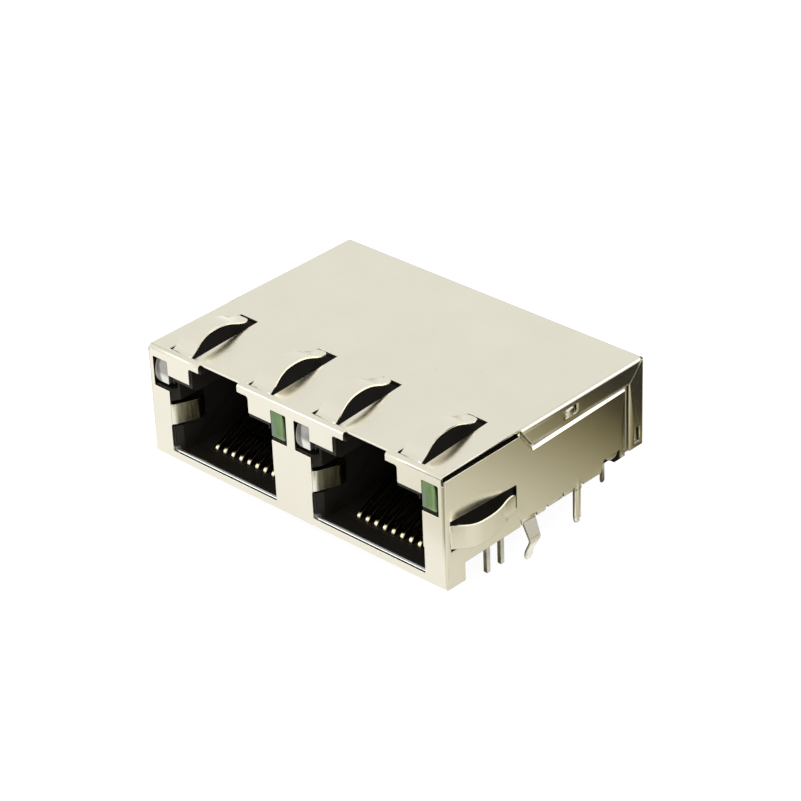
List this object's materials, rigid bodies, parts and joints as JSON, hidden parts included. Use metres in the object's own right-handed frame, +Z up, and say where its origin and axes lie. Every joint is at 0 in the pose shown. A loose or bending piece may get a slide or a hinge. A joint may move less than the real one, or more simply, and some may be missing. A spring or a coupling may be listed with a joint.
{
  "type": "ganged modular jack",
  "caption": "Low side-by-side modular board jack in a folded metal shell, latch side up, with gold wire contacts, lights over the ports, ground spring fingers and board locks.",
  "frame": {"origin": "centre of the moulding's middle standoff pad, on the board's top surface; the face is 13 mm in front of it", "axes": "+X to the right seen from the front, +Y from the face into the jack, +Z up from the board; the plugs enter along +Y"},
  "size_m": [0.0384, 0.026, 0.0146],
  "materials": {
    "nickel_sheet": "satin",
    "black_moulding": "satin",
    "gold_wire": "bright",
    "tinned_lead": "satin",
    "clear_lens": "translucent",
    "green_lens": "translucent",
    "board_laminate": "solder mask",
    "ferrite": "matt",
    "copper_wire": "enamelled",
    "chip_black": "satin",
    "chip_tan": "satin"
  },
  "bodies": {
    "root": {"shield": "nickel_sheet", "housing": "black_moulding", "contact_carrier_left": "black_moulding", "insert_base_left": "black_moulding", "contact_left_1": "gold_wire", "contact_left_2": "gold_wire", "contact_left_3": "gold_wire", "contact_left_4": "gold_wire", "contact_left_5": "gold_wire", "contact_left_6": "gold_wire", "contact_left_7": "gold_wire", "contact_left_8": "gold_wire", "led_left_clear": "clear_lens", "led_left_green": "green_lens", "led_leads_left_clear": "tinned_lead", "led_leads_left_green": "tinned_lead", "signal_pins_left": "tinned_lead", "circuit_board_left": "board_laminate", "toroid_cores_left": "ferrite", "toroid_windings_left": "copper_wire", "termination_resistors_left": "chip_black", "isolation_capacitor_left": "chip_tan", "contact_carrier_right": "black_moulding", "insert_base_right": "black_moulding", "contact_right_1": "gold_wire", "contact_right_2": "gold_wire", "contact_right_3": "gold_wire", "contact_right_4": "gold_wire", "contact_right_5": "gold_wire", "contact_right_6": "gold_wire", "contact_right_7": "gold_wire", "contact_right_8": "gold_wire", "led_right_clear": "clear_lens", "led_right_green": "green_lens", "led_leads_right_clear": "tinned_lead", "led_leads_right_green": "tinned_lead", "signal_pins_right": "tinned_lead", "circuit_board_right": "board_laminate", "toroid_cores_right": "ferrite", "toroid_windings_right": "copper_wire", "termination_resistors_right": "chip_black", "isolation_capacitor_right": "chip_tan"}
  },
  "joints": []
}
